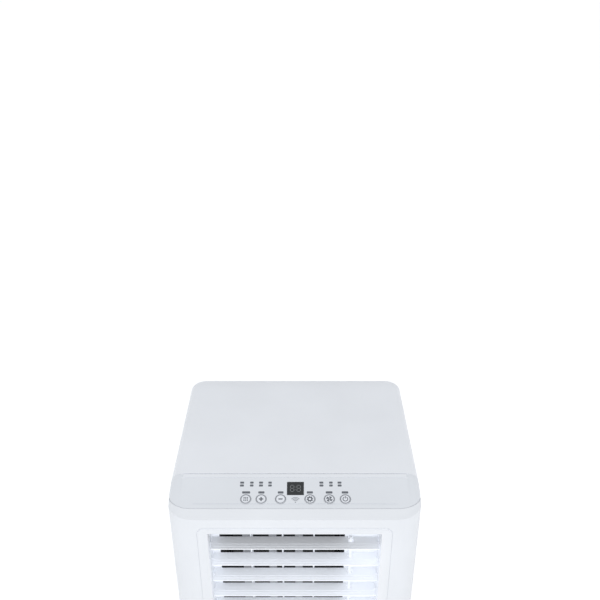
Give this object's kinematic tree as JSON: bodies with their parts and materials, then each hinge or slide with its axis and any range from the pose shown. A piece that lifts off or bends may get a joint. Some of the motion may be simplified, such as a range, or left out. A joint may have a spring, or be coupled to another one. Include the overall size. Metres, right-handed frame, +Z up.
{
  "type": "portable air conditioner",
  "caption": "Upright portable air conditioner on swivelling casters, with a sloping control strip, linked louvres and vanes, and its fans and coils inside.",
  "frame": {"origin": "on the floor, under the middle of the object's box", "axes": "+Z up, -Y out of the front with the louvres, +X to the right as seen from the front"},
  "size_m": [0.333, 0.2962, 0.685],
  "materials": {
    "shell_white": "satin moulded",
    "lid_grey": "satin moulded",
    "louvre_white": "satin moulded",
    "button_grey": "satin, printed symbols",
    "display_black": "smooth tinted window",
    "dark_plastic": "fine grain",
    "grey_plastic": "fine grain",
    "caster_rubber": "matt tread",
    "seal_rubber": "matt",
    "aluminium": "thin fins",
    "copper": "drawn copper tube",
    "steel": "pressed sheet",
    "black_paint": "semi-gloss",
    "circuit_green": "lacquered board",
    "filter_grey": "fine mesh"
  },
  "bodies": {
    "casing": {"front_shell": "shell_white", "rear_shell": "shell_white", "top_cover": "lid_grey", "control_panel": "lid_grey", "display_window": "display_black", "control_board": "circuit_green", "louvre_frame": "shell_white", "exhaust_collar": "grey_plastic", "cord_gland": "seal_rubber", "handle_left": "grey_plastic", "handle_right": "grey_plastic", "base_tray": "shell_white", "upper_scroll": "dark_plastic", "upper_motor": "steel", "evaporator": "aluminium", "drip_tray": "grey_plastic", "lower_scroll": "dark_plastic", "lower_motor": "steel", "condenser_grille": "shell_white", "condenser": "aluminium", "compressor": "black_paint", "accumulator": "black_paint", "control_box": "grey_plastic", "suction_pipe": "copper", "discharge_pipe": "copper", "capillary_tube": "copper"},
    "button_1": {"button_1": "button_grey"},
    "button_2": {"button_2": "button_grey"},
    "button_3": {"button_3": "button_grey"},
    "button_4": {"button_4": "button_grey"},
    "button_5": {"button_5": "button_grey"},
    "button_6": {"button_6": "button_grey"},
    "louvre_1": {"louvre_1": "louvre_white"},
    "louvre_2": {"louvre_2": "louvre_white"},
    "louvre_3": {"louvre_3": "louvre_white"},
    "louvre_4": {"louvre_4": "louvre_white"},
    "louvre_5": {"louvre_5": "louvre_white"},
    "louvre_6": {"louvre_6": "louvre_white"},
    "louvre_7": {"louvre_7": "louvre_white"},
    "louvre_8": {"louvre_8": "louvre_white"},
    "louvre_link": {"louvre_link": "louvre_white"},
    "vane_1": {"vane_1": "louvre_white"},
    "vane_2": {"vane_2": "louvre_white"},
    "vane_3": {"vane_3": "louvre_white"},
    "vane_link": {"vane_link": "louvre_white"},
    "upper_fan": {"upper_fan": "dark_plastic"},
    "lower_fan": {"lower_fan": "dark_plastic"},
    "caster_fork_1": {"caster_fork_1": "dark_plastic"},
    "caster_wheel_1": {"caster_wheel_1": "caster_rubber"},
    "caster_fork_2": {"caster_fork_2": "dark_plastic"},
    "caster_wheel_2": {"caster_wheel_2": "caster_rubber"},
    "caster_fork_3": {"caster_fork_3": "dark_plastic"},
    "caster_wheel_3": {"caster_wheel_3": "caster_rubber"},
    "caster_fork_4": {"caster_fork_4": "dark_plastic"},
    "caster_wheel_4": {"caster_wheel_4": "caster_rubber"},
    "filter_door": {"intake_grille": "shell_white", "air_filter": "filter_grey"},
    "drain_plug_upper": {"drain_plug_upper": "seal_rubber"},
    "drain_plug_lower": {"drain_plug_lower": "seal_rubber"}
  },
  "joints": [
    {"name": "button_1_press", "type": "slide", "parent": "casing", "child": "button_1", "axis": [0, 0.2317, -0.9728], "range_m": [0, 0.0008], "stiffness_N_per_m": 900, "springref_m": -0.0002},
    {"name": "button_2_press", "type": "slide", "parent": "casing", "child": "button_2", "axis": [0, 0.2317, -0.9728], "range_m": [0, 0.0008], "stiffness_N_per_m": 900, "springref_m": -0.0002},
    {"name": "button_3_press", "type": "slide", "parent": "casing", "child": "button_3", "axis": [0, 0.2317, -0.9728], "range_m": [0, 0.0008], "stiffness_N_per_m": 900, "springref_m": -0.0002},
    {"name": "button_4_press", "type": "slide", "parent": "casing", "child": "button_4", "axis": [0, 0.2317, -0.9728], "range_m": [0, 0.0008], "stiffness_N_per_m": 900, "springref_m": -0.0002},
    {"name": "button_5_press", "type": "slide", "parent": "casing", "child": "button_5", "axis": [0, 0.2317, -0.9728], "range_m": [0, 0.0008], "stiffness_N_per_m": 900, "springref_m": -0.0002},
    {"name": "button_6_press", "type": "slide", "parent": "casing", "child": "button_6", "axis": [0, 0.2317, -0.9728], "range_m": [0, 0.0008], "stiffness_N_per_m": 900, "springref_m": -0.0002},
    {"name": "louvre_1_tilt", "type": "hinge", "parent": "casing", "child": "louvre_1", "pos_m": [0, -0.1305, 0.6076], "axis": [1, 0, 0], "range_deg": [-30, 30]},
    {"name": "louvre_2_tilt", "type": "hinge", "parent": "casing", "child": "louvre_2", "pos_m": [0, -0.1305, 0.5773], "axis": [1, 0, 0], "range_deg": [-30, 30]},
    {"name": "louvre_3_tilt", "type": "hinge", "parent": "casing", "child": "louvre_3", "pos_m": [0, -0.1305, 0.547], "axis": [1, 0, 0], "range_deg": [-30, 30]},
    {"name": "louvre_4_tilt", "type": "hinge", "parent": "casing", "child": "louvre_4", "pos_m": [0, -0.1305, 0.5167], "axis": [1, 0, 0], "range_deg": [-30, 30]},
    {"name": "louvre_5_tilt", "type": "hinge", "parent": "casing", "child": "louvre_5", "pos_m": [0, -0.1305, 0.4864], "axis": [1, 0, 0], "range_deg": [-30, 30]},
    {"name": "louvre_6_tilt", "type": "hinge", "parent": "casing", "child": "louvre_6", "pos_m": [0, -0.1305, 0.4561], "axis": [1, 0, 0], "range_deg": [-30, 30]},
    {"name": "louvre_7_tilt", "type": "hinge", "parent": "casing", "child": "louvre_7", "pos_m": [0, -0.1305, 0.4258], "axis": [1, 0, 0], "range_deg": [-30, 30]},
    {"name": "louvre_8_tilt", "type": "hinge", "parent": "casing", "child": "louvre_8", "pos_m": [0, -0.1305, 0.3955], "axis": [1, 0, 0], "range_deg": [-30, 30]},
    {"name": "louvre_link_pivot", "type": "hinge", "parent": "louvre_1", "child": "louvre_link", "pos_m": [0.075, -0.1235, 0.6076], "axis": [1, 0, 0], "range_deg": [-30, 30]},
    {"name": "vane_1_swing", "type": "hinge", "parent": "casing", "child": "vane_1", "pos_m": [-0.0602, -0.1, 0.5112], "axis": [0, 0, 1], "range_deg": [-30, 30]},
    {"name": "vane_2_swing", "type": "hinge", "parent": "casing", "child": "vane_2", "pos_m": [-0.017, -0.1, 0.5112], "axis": [0, 0, 1], "range_deg": [-30, 30]},
    {"name": "vane_3_swing", "type": "hinge", "parent": "casing", "child": "vane_3", "pos_m": [0.0262, -0.1, 0.5112], "axis": [0, 0, 1], "range_deg": [-30, 30]},
    {"name": "vane_link_pivot", "type": "hinge", "parent": "vane_1", "child": "vane_link", "pos_m": [-0.0602, -0.093, 0.56], "axis": [0, 0, 1], "range_deg": [-30, 30]},
    {"name": "upper_fan_spin", "type": "hinge", "parent": "casing", "child": "upper_fan", "pos_m": [-0.017, 0.004, 0.51], "axis": [1, 0, 0], "continuous": true},
    {"name": "lower_fan_spin", "type": "hinge", "parent": "casing", "child": "lower_fan", "pos_m": [0.062, 0.039, 0.172], "axis": [0, 1, 0], "continuous": true},
    {"name": "caster_swivel_1", "type": "hinge", "parent": "casing", "child": "caster_fork_1", "pos_m": [-0.118, -0.096, 0.04], "axis": [0, 0, 1], "continuous": true},
    {"name": "caster_roll_1", "type": "hinge", "parent": "caster_fork_1", "child": "caster_wheel_1", "pos_m": [-0.118, -0.087, 0.017], "axis": [1, 0, 0], "continuous": true},
    {"name": "caster_swivel_2", "type": "hinge", "parent": "casing", "child": "caster_fork_2", "pos_m": [0.118, -0.096, 0.04], "axis": [0, 0, 1], "continuous": true},
    {"name": "caster_roll_2", "type": "hinge", "parent": "caster_fork_2", "child": "caster_wheel_2", "pos_m": [0.118, -0.087, 0.017], "axis": [1, 0, 0], "continuous": true},
    {"name": "caster_swivel_3", "type": "hinge", "parent": "casing", "child": "caster_fork_3", "pos_m": [-0.118, 0.096, 0.04], "axis": [0, 0, 1], "continuous": true},
    {"name": "caster_roll_3", "type": "hinge", "parent": "caster_fork_3", "child": "caster_wheel_3", "pos_m": [-0.118, 0.105, 0.017], "axis": [1, 0, 0], "continuous": true},
    {"name": "caster_swivel_4", "type": "hinge", "parent": "casing", "child": "caster_fork_4", "pos_m": [0.118, 0.096, 0.04], "axis": [0, 0, 1], "continuous": true},
    {"name": "caster_roll_4", "type": "hinge", "parent": "caster_fork_4", "child": "caster_wheel_4", "pos_m": [0.118, 0.105, 0.017], "axis": [1, 0, 0], "continuous": true},
    {"name": "filter_door_pull", "type": "slide", "parent": "casing", "child": "filter_door", "axis": [0, 1, 0], "range_m": [0, 0.06]},
    {"name": "drain_plug_upper_pull", "type": "slide", "parent": "casing", "child": "drain_plug_upper", "axis": [0, 1, 0], "range_m": [0, 0.02]},
    {"name": "drain_plug_lower_pull", "type": "slide", "parent": "casing", "child": "drain_plug_lower", "axis": [0, 1, 0], "range_m": [0, 0.02]}
  ],
  "couplings": [
    {"joint": "louvre_2_tilt", "follows": "louvre_1_tilt", "ratio": 1},
    {"joint": "louvre_3_tilt", "follows": "louvre_1_tilt", "ratio": 1},
    {"joint": "louvre_4_tilt", "follows": "louvre_1_tilt", "ratio": 1},
    {"joint": "louvre_5_tilt", "follows": "louvre_1_tilt", "ratio": 1},
    {"joint": "louvre_6_tilt", "follows": "louvre_1_tilt", "ratio": 1},
    {"joint": "louvre_7_tilt", "follows": "louvre_1_tilt", "ratio": 1},
    {"joint": "louvre_8_tilt", "follows": "louvre_1_tilt", "ratio": 1},
    {"joint": "louvre_link_pivot", "follows": "louvre_1_tilt", "ratio": -1},
    {"joint": "vane_2_swing", "follows": "vane_1_swing", "ratio": 1},
    {"joint": "vane_3_swing", "follows": "vane_1_swing", "ratio": 1},
    {"joint": "vane_link_pivot", "follows": "vane_1_swing", "ratio": -1}
  ]
}
